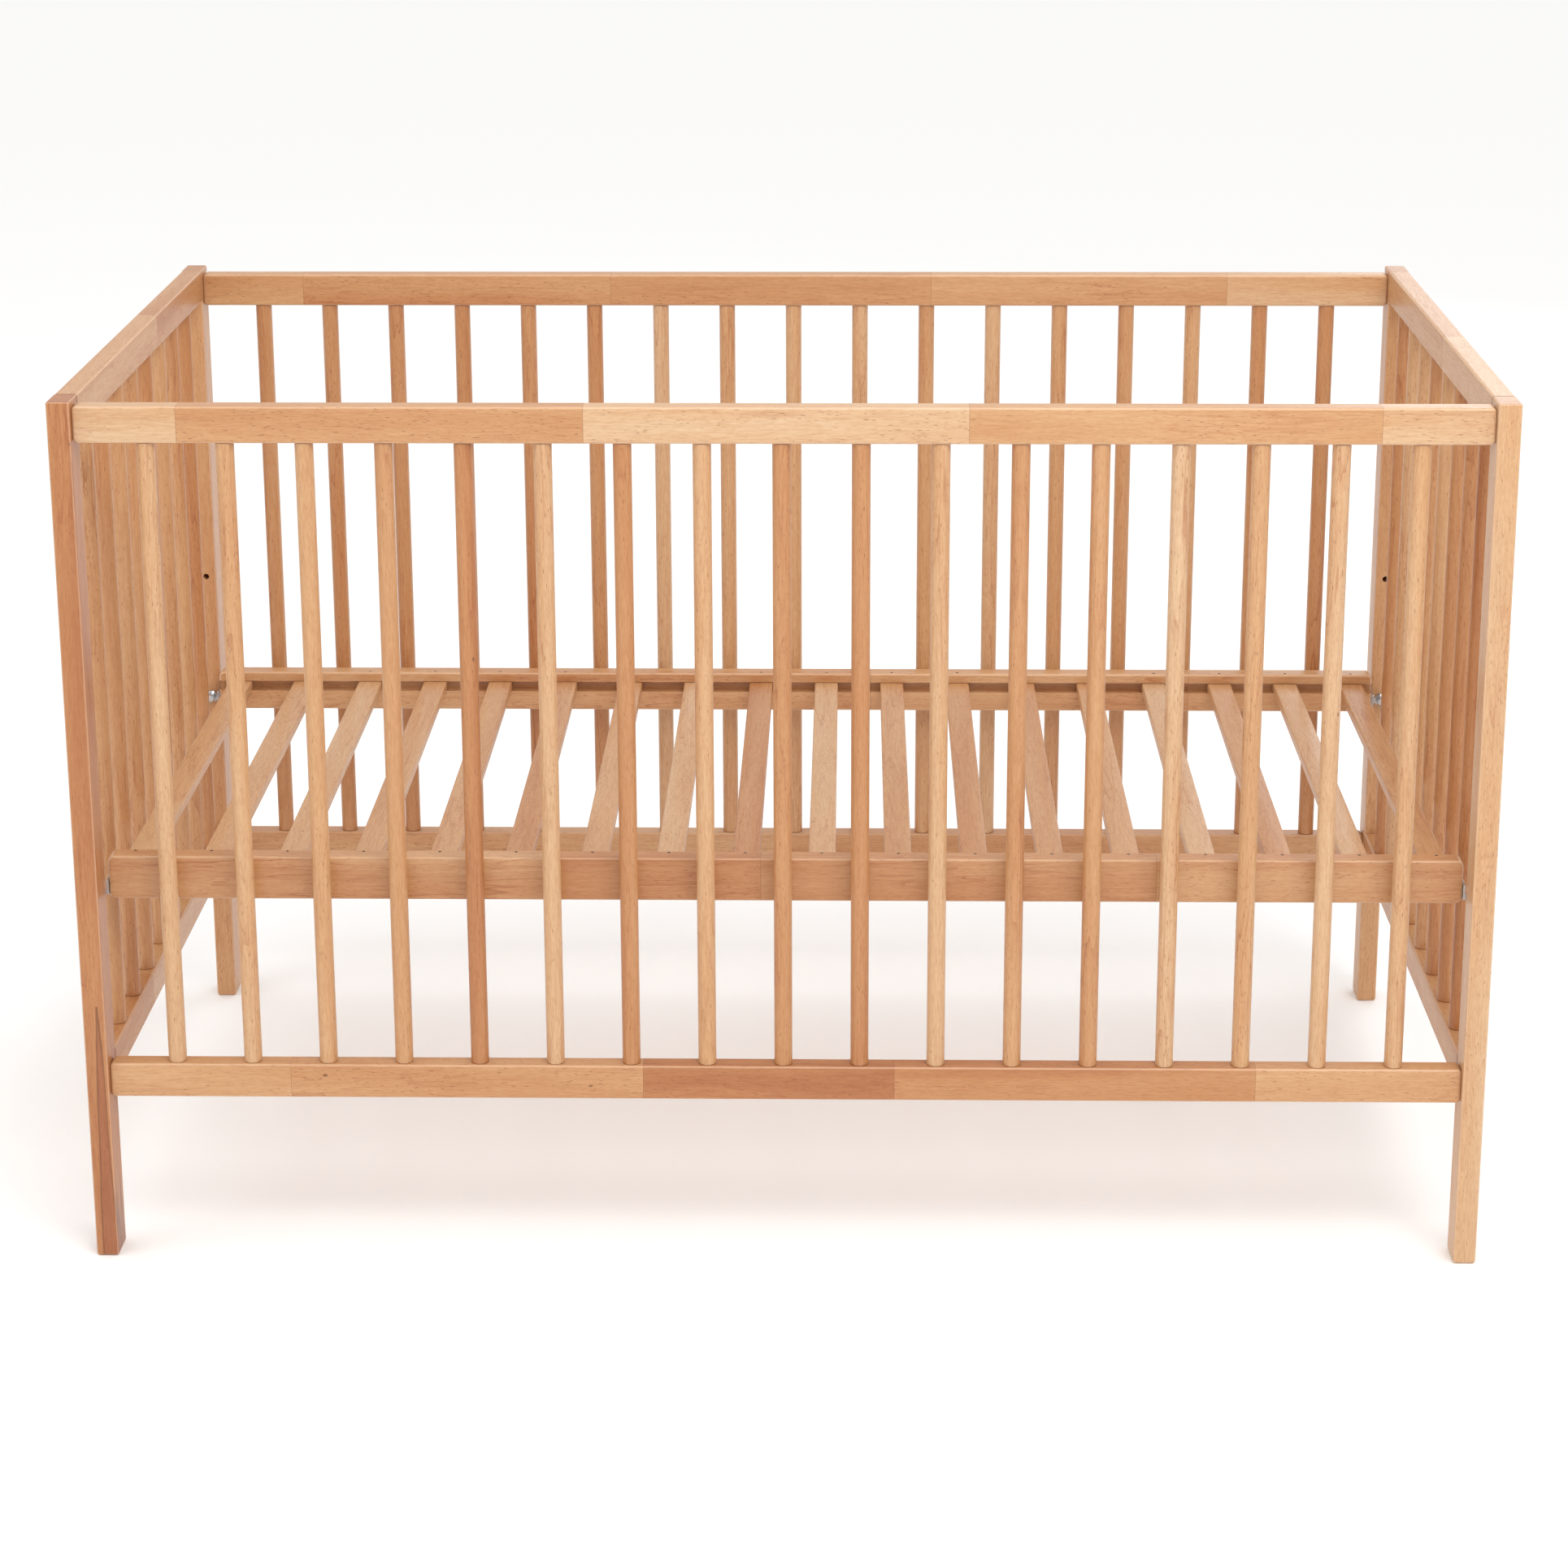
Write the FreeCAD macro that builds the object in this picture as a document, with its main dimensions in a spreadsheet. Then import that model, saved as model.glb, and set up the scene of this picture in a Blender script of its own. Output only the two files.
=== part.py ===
import FreeCAD, Part
import os
import Sketcher
from FreeCAD import Placement, Rotation, Vector

# A slatted baby cot for a 600 x 1200 mm mattress, in beech. Millimetres, +Z up.
# X is the length, the front side panel faces -Y, and the floor is z = 0.
os.makedirs("parts", exist_ok=True)
doc = FreeCAD.newDocument("cot")

# ---------------------------------------------------------------- driving sizes
SIZES = [
    ("overall_length", 1245, "outer faces of the posts, end to end"),
    ("overall_depth", 664, "front of the front posts to the back of the back posts"),
    ("overall_height", 790, "floor to the post tops"),
    ("post_thick", 20, "post size along the cot"),
    ("post_depth", 34, "post size across the cot"),
    ("post_round", 2, "rounding of the post edges"),
    ("foot_round", 4, "rounding under the feet"),
    ("rail_thick", 20, "side rail thickness"),
    ("rail_tall", 32, "height of every panel rail"),
    ("rail_round", 2.5, "rounding along the rails"),
    ("rail_corner", 4, "rounded corner at each rail end"),
    ("side_top_drop", 5, "side top rail below the post tops"),
    ("side_low_under", 153, "floor to the underside of the lower side rails"),
    ("end_low_under", 158, "floor to the underside of the lower end rails"),
    ("bar_dia", 16, "round bar diameter"),
    ("bar_seat", 12, "depth of a bar in its rail"),
    ("side_bars", 17, "bars in a side panel"),
    ("end_bars", 8, "bars in an end panel"),
    ("tenon_thick", 8, "end rail tenon, along the cot"),
    ("tenon_tall", 20, "end rail tenon, upright"),
    ("tenon_length", 12, "end rail tenon, into the post"),
    ("bolt_dia", 6, "corner bolt shank"),
    ("bolt_bore", 7, "clearance bore for the corner bolt"),
    ("bolt_length", 62, "corner bolt under its head"),
    ("bolt_head_dia", 10, "low round head of the corner bolt"),
    ("bolt_head_tall", 2, "how far the head stands off the post"),
    ("bolt_hex", 4, "hexagon key size"),
    ("nut_dia", 10, "barrel nut diameter"),
    ("nut_length", 14, "barrel nut length"),
    ("nut_inset", 35, "barrel nut axis from the rail end"),
    ("base_length", 1200, "bed base rail length"),
    ("base_rail_thick", 20, "bed base rail thickness"),
    ("base_rail_tall", 40, "bed base rail height"),
    ("base_under", 331, "floor to the underside of the bed base, low setting"),
    ("base_corner", 6, "rounded corner at each bed base rail end"),
    ("groove_above", 20, "groove floor above the rail underside"),
    ("groove_tall", 10.5, "groove height"),
    ("groove_deep", 10, "groove depth"),
    ("slat_count", 18, "slats in the bed base"),
    ("slat_wide", 24, "slat width"),
    ("slat_thick", 10, "slat thickness"),
    ("slat_pitch", 68, "slat spacing, centre to centre"),
    ("slat_round", 1.5, "rounding along the slats"),
    ("nail_dia", 1.8, "slat nail"),
    ("nail_length", 17, "slat nail length"),
    ("nail_inset", 4.5, "nail from the inner face of the rail"),
    ("screw_low", 338, "floor to the wing screw axis, low setting"),
    ("setting_step", 130, "low setting to high setting"),
    ("screw_dia", 6, "wing screw shank"),
    ("screw_bore", 6.1, "hole for the wing screw in the post"),
    ("screw_reach", 20, "wing screw into the post"),
    ("screw_hub_dia", 9, "wing screw hub"),
    ("screw_hub_tall", 7, "wing screw hub height"),
    ("wing_span", 19, "tip to tip of the wings"),
    ("wing_thick", 2.4, "wing thickness"),
    ("wing_rise", 10.5, "wing height above the hub face"),
    ("tab_thick", 2, "steel tab thickness"),
    ("tab_tall", 14, "steel tab height on the rail end"),
    ("tab_leg", 21, "steel tab across the rail end, over the bend"),
    ("tab_arm", 5, "height of the arm that runs to the wing screw"),
    ("tab_eye", 12.6, "eye round the wing screw, outside diameter"),
    ("tab_slot", 6.6, "opening of the eye, which hooks over the wing screw"),
    ("tab_screw_inset", 14.5, "tab screws in from the outer face of the base rail"),
    ("tab_screw_lift", 1, "lower tab screw above the wing screw axis"),
    ("tab_screw_gap", 7, "distance between the two tab screws"),
    ("tab_screw_dia", 3, "tab screw shank"),
    ("tab_screw_length", 14, "tab screw length"),
    ("tab_screw_head", 5.4, "tab screw head diameter"),
    ("tab_screw_head_tall", 1.2, "tab screw head height"),
    ("play", 0.3, "gap between the bed base and the frame hardware"),
]
dims = doc.addObject("Spreadsheet::Sheet", "dims")
for row, (name, value, note) in enumerate(SIZES, start=1):
    dims.set(f"A{row}", name)
    dims.set(f"B{row}", str(value))
    dims.set(f"C{row}", note)
    dims.setAlias(f"B{row}", name)
doc.recompute()
value = {name: float(size) for name, size, note in SIZES}
side_bars, end_bars = int(value["side_bars"]), int(value["end_bars"])
slat_count = int(value["slat_count"])

# Lengths that follow from the driving sizes.
SIDE_SPAN = "(dims.overall_length - 2 * dims.post_thick)"
END_SPAN = "(dims.overall_depth - 2 * dims.post_depth)"
SIDE_PITCH = f"(({SIDE_SPAN} - dims.side_bars * dims.bar_dia) / (dims.side_bars + 1) + dims.bar_dia)"
END_PITCH = f"(({END_SPAN} - dims.end_bars * dims.bar_dia) / (dims.end_bars + 1) + dims.bar_dia)"
POST_X = "(dims.overall_length / 2 - dims.post_thick / 2)"
POST_Y = "(dims.overall_depth / 2 - dims.post_depth / 2)"
SIDE_TOP_Z = "(dims.overall_height - dims.side_top_drop - dims.rail_tall / 2)"
SIDE_LOW_Z = "(dims.side_low_under + dims.rail_tall / 2)"
END_TOP_Z = "(dims.overall_height - dims.rail_tall / 2)"
END_LOW_Z = "(dims.end_low_under + dims.rail_tall / 2)"
BASE_Y = f"({END_SPAN} / 2 - dims.play - dims.tab_thick - dims.base_rail_thick / 2)"
BASE_Z = "(dims.base_under + dims.base_rail_tall / 2)"
SLAT_Z = "(dims.base_under + dims.groove_above + dims.slat_thick / 2)"
TAB_SCREW_LIFTS = ("dims.tab_screw_lift", "(dims.tab_screw_lift + dims.tab_screw_gap)")


# ---------------------------------------------------------------- shared steps
def new_body(label):
    body = doc.addObject("PartDesign::Body", label)
    body.Label = label
    return body


def put(thing, x="0", y="0", z="0", turn=None):
    """Stands a sub-part in the cot: position from the sheet, turn in whole rotations."""
    if turn is not None:
        thing.Placement = Placement(Vector(0, 0, 0), turn)
    for axis, rule in (("x", x), ("y", y), ("z", z)):
        thing.setExpression(f"Placement.Base.{axis}", rule)


def sketch_on(body, name, role, lift="0"):
    """A sketch on one of the body's own origin planes, lifted along the plane's normal."""
    sketch = body.newObject("Sketcher::SketchObject", name)
    plane = next(f for f in body.Origin.OriginFeatures if f.Role == role)
    sketch.AttachmentSupport = [(plane, "")]
    sketch.MapMode = "FlatFace"
    sketch.setExpression("AttachmentOffset.Base.z", lift)
    return sketch


def outline(sketch, points):
    """A closed outline through the points, each held by its two distances from the centre."""
    count = len(points)
    start = [Vector(3 * i, 2 * (i % 2), 0) for i in range(count)]
    first = sketch.GeometryCount
    for i in range(count):
        sketch.addGeometry(Part.LineSegment(start[i], start[(i + 1) % count]))
    for i in range(count):
        nxt = first + (i + 1) % count
        sketch.addConstraint(Sketcher.Constraint("Coincident", first + i, 2, nxt, 1))
    for i, (across, up) in enumerate(points):
        for kind, rule in (("DistanceX", across), ("DistanceY", up)):
            at = start[i].x if kind == "DistanceX" else start[i].y
            row = sketch.addConstraint(Sketcher.Constraint(kind, -1, 1, first + i, 1, at))
            sketch.renameConstraint(row, f"{'across' if kind == 'DistanceX' else 'up'}_{first + i}")
            sketch.setExpression(f"Constraints[{row}]", rule)


def rectangle(sketch, wide, tall, across="0", up="0"):
    low, high = f"{across} - {wide} / 2", f"{across} + {wide} / 2"
    under, over = f"{up} - {tall} / 2", f"{up} + {tall} / 2"
    outline(sketch, [(low, under), (high, under), (high, over), (low, over)])


def circle(sketch, dia, across="0", up="0"):
    ring = sketch.addGeometry(Part.Circle(Vector(5, 5, 0), Vector(0, 0, 1), 2))
    for kind, rule in (("DistanceX", across), ("DistanceY", up)):
        row = sketch.addConstraint(Sketcher.Constraint(kind, -1, 1, ring, 3, 5))
        sketch.setExpression(f"Constraints[{row}]", rule)
    row = sketch.addConstraint(Sketcher.Constraint("Diameter", ring, 4))
    sketch.setExpression(f"Constraints[{row}]", dia)


def pad(body, name, sketch, length):
    made = body.newObject("PartDesign::Pad", name)
    made.Profile = sketch
    made.setExpression("Length", length)
    return made


def pad_both_ways(body, name, sketch, length):
    made = pad(body, name, sketch, length)
    made.SideType = "Symmetric"
    return made


def pocket(body, name, sketch, depth, turned=False, both_ways=False):
    made = body.newObject("PartDesign::Pocket", name)
    made.Profile = sketch
    made.setExpression("Length", depth)
    made.Reversed = turned
    if both_ways:
        made.SideType = "Symmetric"
    return made


def edges_where(feature, test):
    return [f"Edge{i}" for i, e in enumerate(feature.Shape.Edges, 1) if test(e)]


def runs_along(edge, axis):
    a, b = edge.Vertexes[0].Point, edge.Vertexes[-1].Point
    return (b - a).Length > 1e-6 and abs((b - a).normalize().dot(axis)) > 0.999


def soften(body, name, feature, radius, test):
    doc.recompute()
    made = body.newObject("PartDesign::Fillet", name)
    made.Base = (feature, edges_where(feature, test))
    made.setExpression("Radius", radius)
    body.Tip = made
    return made


def repeat_along(body, name, feature, axis, length, count):
    made = body.newObject("PartDesign::LinearPattern", name)
    made.Originals = [feature]
    made.Direction = (feature.Profile[0], [axis])
    made.setExpression("Length", length)
    made.setExpression("Occurrences", count)
    body.Tip = made
    return made


def both_ends(body, name, features, role):
    made = body.newObject("PartDesign::Mirrored", name)
    made.Originals = features
    made.MirrorPlane = (next(f for f in body.Origin.OriginFeatures if f.Role == role), [""])
    body.Tip = made
    return made


ALONG_X, ALONG_Y, ALONG_Z = Vector(1, 0, 0), Vector(0, 1, 0), Vector(0, 0, 1)
HALF_X, HALF_Y, HALF_Z = Rotation(ALONG_X, 180), Rotation(ALONG_Y, 180), Rotation(ALONG_Z, 180)
nodes = []


# ---------------------------------------------------------------- corner posts
# Each post is an upright with its inner face towards -Y here: two mortises for the end
# rails, two bolt bores for the side rails and two holes for the wing screw settings.
def corner_post(label, x, y, turn=None):
    body = new_body(label)
    plan = sketch_on(body, "plan", "XY_Plane")
    rectangle(plan, "dims.post_thick", "dims.post_depth")
    upright = pad(body, "upright", plan, "dims.overall_height")
    eased = soften(body, "eased", upright, "dims.post_round", lambda e: runs_along(e, ALONG_Z))
    tall = value["overall_height"]
    top = soften(body, "top_eased", eased, "dims.post_round - 0.5",
                 lambda e: all(abs(v.Z - tall) < 1e-6 for v in e.Vertexes))
    soften(body, "foot_eased", top, "dims.foot_round - 1",
           lambda e: all(abs(v.Z) < 1e-6 for v in e.Vertexes))
    inner = "dims.post_depth / 2"
    slots = sketch_on(body, "mortises", "XZ_Plane", inner)
    for height in (END_TOP_Z, END_LOW_Z):
        rectangle(slots, "dims.tenon_thick", "dims.tenon_tall", "0", height)
    pocket(body, "mortise_cuts", slots, "dims.tenon_length + 0.5")
    bores = sketch_on(body, "bolt_bores", "YZ_Plane")
    for height in (SIDE_TOP_Z, SIDE_LOW_Z):
        circle(bores, "dims.bolt_bore", "0", height)
    pocket(body, "bolt_bore_cuts", bores, "dims.post_thick + 2", both_ways=True)
    holes = sketch_on(body, "setting_holes", "XZ_Plane", inner)
    for height in ("dims.screw_low", "dims.screw_low + dims.setting_step"):
        circle(holes, "dims.screw_bore", "0", height)
    body.Tip = pocket(body, "setting_hole_cuts", holes, "dims.screw_reach + 2")
    put(body, x, y, "0", turn)
    nodes.append(body)


corner_post("post_back_left", f"-{POST_X}", POST_Y)
corner_post("post_back_right", POST_X, POST_Y)
corner_post("post_front_left", f"-{POST_X}", f"-{POST_Y}", HALF_Z)
corner_post("post_front_right", POST_X, f"-{POST_Y}", HALF_Z)


# ---------------------------------------------------------------- side rails
# A side rail runs between two posts. The bars stand in blind holes in its +Z face here, a
# bolt enters each end, and a barrel nut sits in a blind cross hole in the under face.
def side_rail(label, y, z, turn=None, bars_below=False):
    body = new_body(label)
    section = sketch_on(body, "section", "YZ_Plane")
    rectangle(section, "dims.rail_thick", "dims.rail_tall")
    blank = pad_both_ways(body, "blank", section, SIDE_SPAN)
    cornered = soften(body, "end_corners", blank, "dims.rail_corner",
                      lambda e: runs_along(e, ALONG_Y))
    eased = soften(body, "eased", cornered, "dims.rail_round",
                   lambda e: runs_along(e, ALONG_X))
    seat = sketch_on(body, "bar_seat", "XY_Plane", "dims.rail_tall / 2")
    circle(seat, "dims.bar_dia", f"-{SIDE_PITCH} * (dims.side_bars - 1) / 2", "0")
    first = pocket(body, "bar_seat_cut", seat, "dims.bar_seat")
    repeat_along(body, "bar_seats", first, "H_Axis", f"{SIDE_PITCH} * (dims.side_bars - 1)",
                 "dims.side_bars")
    end = sketch_on(body, "bolt_hole", "YZ_Plane", f"{SIDE_SPAN} / 2")
    circle(end, "dims.bolt_bore")
    bolt_cut = pocket(body, "bolt_hole_cut", end, "dims.bolt_length - dims.post_thick + 3")
    cross = sketch_on(body, "nut_hole", "XY_Plane", f"{'' if bars_below else '-'}dims.rail_tall / 2")
    circle(cross, "dims.nut_dia", f"{SIDE_SPAN} / 2 - dims.nut_inset", "0")
    nut_cut = pocket(body, "nut_hole_cut", cross, "(dims.rail_tall + dims.nut_length) / 2 + 1",
                     turned=not bars_below)
    both_ends(body, "other_end", [bolt_cut, nut_cut], "YZ_Plane")
    put(body, "0", y, z, turn)
    nodes.append(body)


side_rail("side_rail_front_top", f"-{POST_Y}", SIDE_TOP_Z, HALF_Y, bars_below=True)
side_rail("side_rail_front_bottom", f"-{POST_Y}", SIDE_LOW_Z)
side_rail("side_rail_back_top", POST_Y, SIDE_TOP_Z, HALF_X, bars_below=True)
side_rail("side_rail_back_bottom", POST_Y, SIDE_LOW_Z, HALF_Z)


# ---------------------------------------------------------------- end rails
# An end rail runs from post to post across the cot, with a stub tenon at each end.
def end_rail(label, x, z, turn=None):
    body = new_body(label)
    section = sketch_on(body, "section", "XZ_Plane")
    rectangle(section, "dims.post_thick", "dims.rail_tall")
    blank = pad_both_ways(body, "blank", section, END_SPAN)
    soften(body, "eased", blank, "dims.rail_round", lambda e: runs_along(e, ALONG_Y))
    core = sketch_on(body, "tenon_section", "XZ_Plane")
    rectangle(core, "dims.tenon_thick", "dims.tenon_tall")
    pad_both_ways(body, "tenons", core, f"{END_SPAN} + 2 * dims.tenon_length")
    seat = sketch_on(body, "bar_seat", "XY_Plane", "dims.rail_tall / 2")
    circle(seat, "dims.bar_dia", "0", f"-{END_PITCH} * (dims.end_bars - 1) / 2")
    first = pocket(body, "bar_seat_cut", seat, "dims.bar_seat")
    repeat_along(body, "bar_seats", first, "V_Axis", f"{END_PITCH} * (dims.end_bars - 1)",
                 "dims.end_bars")
    put(body, x, "0", z, turn)
    nodes.append(body)


for name, x in (("left", f"-{POST_X}"), ("right", POST_X)):
    end_rail(f"end_rail_{name}_top", x, END_TOP_Z, HALF_Y)
    end_rail(f"end_rail_{name}_bottom", x, END_LOW_Z)


# ---------------------------------------------------------------- round bars
def bar(label, x, y, low, high):
    """A plain turned bar from one blind hole to the other."""
    made = doc.addObject("Part::Cylinder", label)
    made.Label = label
    made.setExpression("Radius", "dims.bar_dia / 2")
    made.setExpression("Height", f"{high} - {low} - dims.rail_tall + 2 * dims.bar_seat")
    put(made, x, y, f"{low} + dims.rail_tall / 2 - dims.bar_seat")
    return made


def together(label, members):
    """Identical pieces kept as one group of separate solids."""
    made = doc.addObject("Part::Compound", label)
    made.Label = label
    made.Links = members
    nodes.append(made)


def spaced(pitch, i, count):
    return f"{pitch} * ({i} - {(count - 1) / 2})"


for i in range(side_bars):
    along = spaced(SIDE_PITCH, i, side_bars)
    nodes.append(bar(f"front_bar_{i + 1:02d}", along, f"-{POST_Y}", SIDE_LOW_Z, SIDE_TOP_Z))
together("back_bars", [
    bar(f"back_bar_{i + 1:02d}", spaced(SIDE_PITCH, i, side_bars), POST_Y, SIDE_LOW_Z, SIDE_TOP_Z)
    for i in range(side_bars)])
together("end_bars", [
    bar(f"{name}_bar_{i + 1}", x, spaced(END_PITCH, i, end_bars), END_LOW_Z, END_TOP_Z)
    for name, x in (("left", f"-{POST_X}"), ("right", POST_X)) for i in range(end_bars)])


# ---------------------------------------------------------------- corner bolts and nuts
# A bolt goes through each post into the rail end; its axis is local +Z, head at z = 0.
def rod(label, dia, length, z="0"):
    made = doc.addObject("Part::Cylinder", label)
    made.setExpression("Radius", f"{dia} / 2")
    made.setExpression("Height", length)
    made.setExpression("Placement.Base.z", z)
    return made


def corner_bolt(label, x, y, z, turn):
    head = rod(f"{label}_head", "dims.bolt_head_dia", "dims.bolt_head_tall", "-dims.bolt_head_tall")
    doc.recompute()
    crown = doc.addObject("Part::Fillet", f"{label}_crown")
    crown.Base = head
    under = -value["bolt_head_tall"]
    rim = next(i for i, e in enumerate(head.Shape.Edges, 1)
               if e.Closed and abs(e.BoundBox.ZMin - under) < 1e-6 and abs(e.BoundBox.ZMax - under) < 1e-6)
    crown.Edges = [(rim, 1.2, 1.2)]
    shank = rod(f"{label}_shank", "dims.bolt_dia", "dims.bolt_length")
    whole = doc.addObject("Part::Fuse", f"{label}_whole")
    whole.Base, whole.Tool = crown, shank
    key = doc.addObject("Part::Prism", f"{label}_key")
    key.Polygon = 6
    key.setExpression("Circumradius", "dims.bolt_hex / sqrt(3)")
    key.setExpression("Height", "dims.bolt_head_tall + 0.6")
    key.setExpression("Placement.Base.z", "-dims.bolt_head_tall - 0.1")
    made = doc.addObject("Part::Cut", label)
    made.Base, made.Tool = whole, key
    put(made, x, y, z, turn)
    return made


def barrel_nut(label, x, y, z):
    barrel = rod(f"{label}_barrel", "dims.nut_dia", "dims.nut_length")
    bore = rod(f"{label}_bore", "dims.bolt_dia", "dims.nut_dia + 2")
    bore.Placement = Placement(Vector(0, 0, 0), Rotation(ALONG_Y, 90))
    bore.setExpression("Placement.Base.x", "-dims.nut_dia / 2 - 1")
    bore.setExpression("Placement.Base.z", "dims.nut_length / 2")
    made = doc.addObject("Part::Cut", label)
    made.Base, made.Tool = barrel, bore
    put(made, x, y, f"{z} - dims.nut_length / 2")
    return made


bolts, nuts = [], []
for side, sx in (("left", "-"), ("right", "")):
    inward = Rotation(ALONG_Y, 90 if sx else -90)
    for face, sy in (("front", "-"), ("back", "")):
        for level, z in (("top", SIDE_TOP_Z), ("bottom", SIDE_LOW_Z)):
            where = f"{face}_{side}_{level}"
            bolts.append(corner_bolt(f"bolt_{where}", f"{sx or '+'}dims.overall_length / 2",
                                     f"{sy or '+'}{POST_Y}", z, inward))
            nuts.append(barrel_nut(f"nut_{where}", f"{sx or '+'}({SIDE_SPAN} / 2 - dims.nut_inset)",
                                   f"{sy or '+'}{POST_Y}", z))
together("corner_bolts", bolts)
together("barrel_nuts", nuts)


# ---------------------------------------------------------------- bed base rails
# Each base rail has a groove in its inner face (-Y here) for the slat ends, nail holes
# down through the lip above the groove, and screw holes for the tab in each end face.
def base_rail(label, y, turn=None):
    body = new_body(label)
    section = sketch_on(body, "section", "YZ_Plane")
    rectangle(section, "dims.base_rail_thick", "dims.base_rail_tall")
    blank = pad_both_ways(body, "blank", section, "dims.base_length")
    cornered = soften(body, "end_corners", blank, "dims.base_corner",
                      lambda e: runs_along(e, ALONG_Y))
    soften(body, "eased", cornered, "dims.rail_round", lambda e: runs_along(e, ALONG_X))
    groove = sketch_on(body, "groove", "YZ_Plane")
    rectangle(groove, "2 * dims.groove_deep", "dims.groove_tall", "-dims.base_rail_thick / 2",
              "dims.groove_above + dims.groove_tall / 2 - dims.base_rail_tall / 2")
    pocket(body, "groove_cut", groove, "dims.base_length + 2", both_ways=True)
    nail = sketch_on(body, "nail_hole", "XY_Plane", "dims.base_rail_tall / 2")
    circle(nail, "dims.nail_dia", "-dims.slat_pitch * (dims.slat_count - 1) / 2",
           "dims.nail_inset - dims.base_rail_thick / 2")
    first = pocket(body, "nail_hole_cut", nail,
                   "dims.base_rail_tall - dims.groove_above - dims.groove_tall + 1")
    repeat_along(body, "nail_holes", first, "H_Axis", "dims.slat_pitch * (dims.slat_count - 1)",
                 "dims.slat_count")
    fixing = sketch_on(body, "tab_screw_holes", "YZ_Plane", "dims.base_length / 2")
    for lift in TAB_SCREW_LIFTS:
        circle(fixing, "dims.tab_screw_dia", "dims.base_rail_thick / 2 - dims.tab_screw_inset",
               f"dims.screw_low + {lift} - {BASE_Z}")
    cut = pocket(body, "tab_screw_cuts", fixing, "dims.tab_screw_length")
    both_ends(body, "other_end", [cut], "YZ_Plane")
    put(body, "0", y, BASE_Z, turn)
    nodes.append(body)


base_rail("base_rail_back", BASE_Y)
base_rail("base_rail_front", f"-{BASE_Y}", HALF_Z)


# ---------------------------------------------------------------- slats and nails
SLAT_LENGTH = f"(2 * ({BASE_Y} - dims.base_rail_thick / 2 + dims.groove_deep - 0.5))"
NAIL_Y = f"({BASE_Y} - dims.base_rail_thick / 2 + dims.nail_inset)"


def slat(label, x):
    body = new_body(label)
    section = sketch_on(body, "section", "XZ_Plane")
    rectangle(section, "dims.slat_wide", "dims.slat_thick")
    blank = pad_both_ways(body, "blank", section, SLAT_LENGTH)
    soften(body, "eased", blank, "dims.slat_round", lambda e: runs_along(e, ALONG_Y))
    holes = sketch_on(body, "nail_holes", "XY_Plane", "dims.slat_thick / 2")
    for sign in ("-", "+"):
        circle(holes, "dims.nail_dia", "0", f"{sign}{NAIL_Y}")
    lip = f"(dims.base_rail_tall - dims.groove_above - dims.slat_thick)"
    body.Tip = pocket(body, "nail_hole_cuts", holes, f"dims.nail_length - {lip}")
    put(body, x, "0", SLAT_Z)
    nodes.append(body)


for i in range(slat_count):
    slat(f"slat_{i + 1:02d}", spaced("dims.slat_pitch", i, slat_count))

nails = []
for i in range(slat_count):
    for sign in ("-", "+"):
        nail = rod(f"nail_{i + 1:02d}{'f' if sign == '-' else 'b'}", "dims.nail_dia", "dims.nail_length")
        put(nail, spaced("dims.slat_pitch", i, slat_count), f"{sign}{NAIL_Y}",
            "dims.base_under + dims.base_rail_tall - dims.nail_length")
        nails.append(nail)
together("slat_nails", nails)


# ---------------------------------------------------------------- base tabs
# A bent steel tab on each base rail end: one leg is screwed to the end face, the other runs
# along the post to an eye that is open downwards, so the base hooks over the wing screws.
TAB_FACE = f"({END_SPAN} / 2 - dims.play)"
PIN_X = f"({POST_X} - dims.base_length / 2)"


def base_tab(label, sx, sy, turn):
    body = new_body(label)
    arm = sketch_on(body, "arm", "XZ_Plane")
    rectangle(arm, PIN_X, "dims.tab_arm", f"{PIN_X} / 2", "0")
    pad(body, "arm_plate", arm, "dims.tab_thick").Reversed = True
    eye = sketch_on(body, "eye", "XZ_Plane")
    circle(eye, "dims.tab_eye", PIN_X, "0")
    pad(body, "eye_plate", eye, "dims.tab_thick").Reversed = True
    leg = sketch_on(body, "leg", "YZ_Plane")
    rectangle(leg, "dims.tab_leg", "dims.tab_tall", "dims.tab_thick - dims.tab_leg / 2",
              "(dims.tab_tall - dims.tab_arm) / 2")
    pad(body, "leg_plate", leg, "dims.tab_thick")
    slot = sketch_on(body, "slot", "XZ_Plane")
    rectangle(slot, "dims.tab_slot", "dims.tab_eye", PIN_X, "-dims.tab_eye / 2")
    pocket(body, "slot_cut", slot, "dims.tab_thick + 1")
    crotch = sketch_on(body, "crotch", "XZ_Plane")
    circle(crotch, "dims.tab_slot", PIN_X, "0")
    pocket(body, "crotch_cut", crotch, "dims.tab_thick + 1")
    holes = sketch_on(body, "screw_holes", "YZ_Plane", "dims.tab_thick")
    for lift in TAB_SCREW_LIFTS:
        circle(holes, "dims.tab_screw_dia", "-dims.tab_screw_inset", lift)
    body.Tip = pocket(body, "screw_hole_cuts", holes, "dims.tab_thick + 1")
    put(body, f"{sx}dims.base_length / 2", f"{sy}({TAB_FACE} - dims.tab_thick)", "dims.screw_low", turn)
    return body


# Four tabs: turned about Z for the corner opposite, and mirrored in X for the others.
tabs = []
for face, sy in (("back", "+"), ("front", "-")):
    plain = base_tab(f"tab_{face}_{'right' if sy == '+' else 'left'}", sy, sy, None if sy == "+" else HALF_Z)
    twin = doc.addObject("Part::Mirroring", f"tab_{face}_{'left' if sy == '+' else 'right'}")
    twin.Source = plain
    twin.Normal = ALONG_X
    tabs += [plain, twin]
together("base_tabs", tabs)

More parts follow.
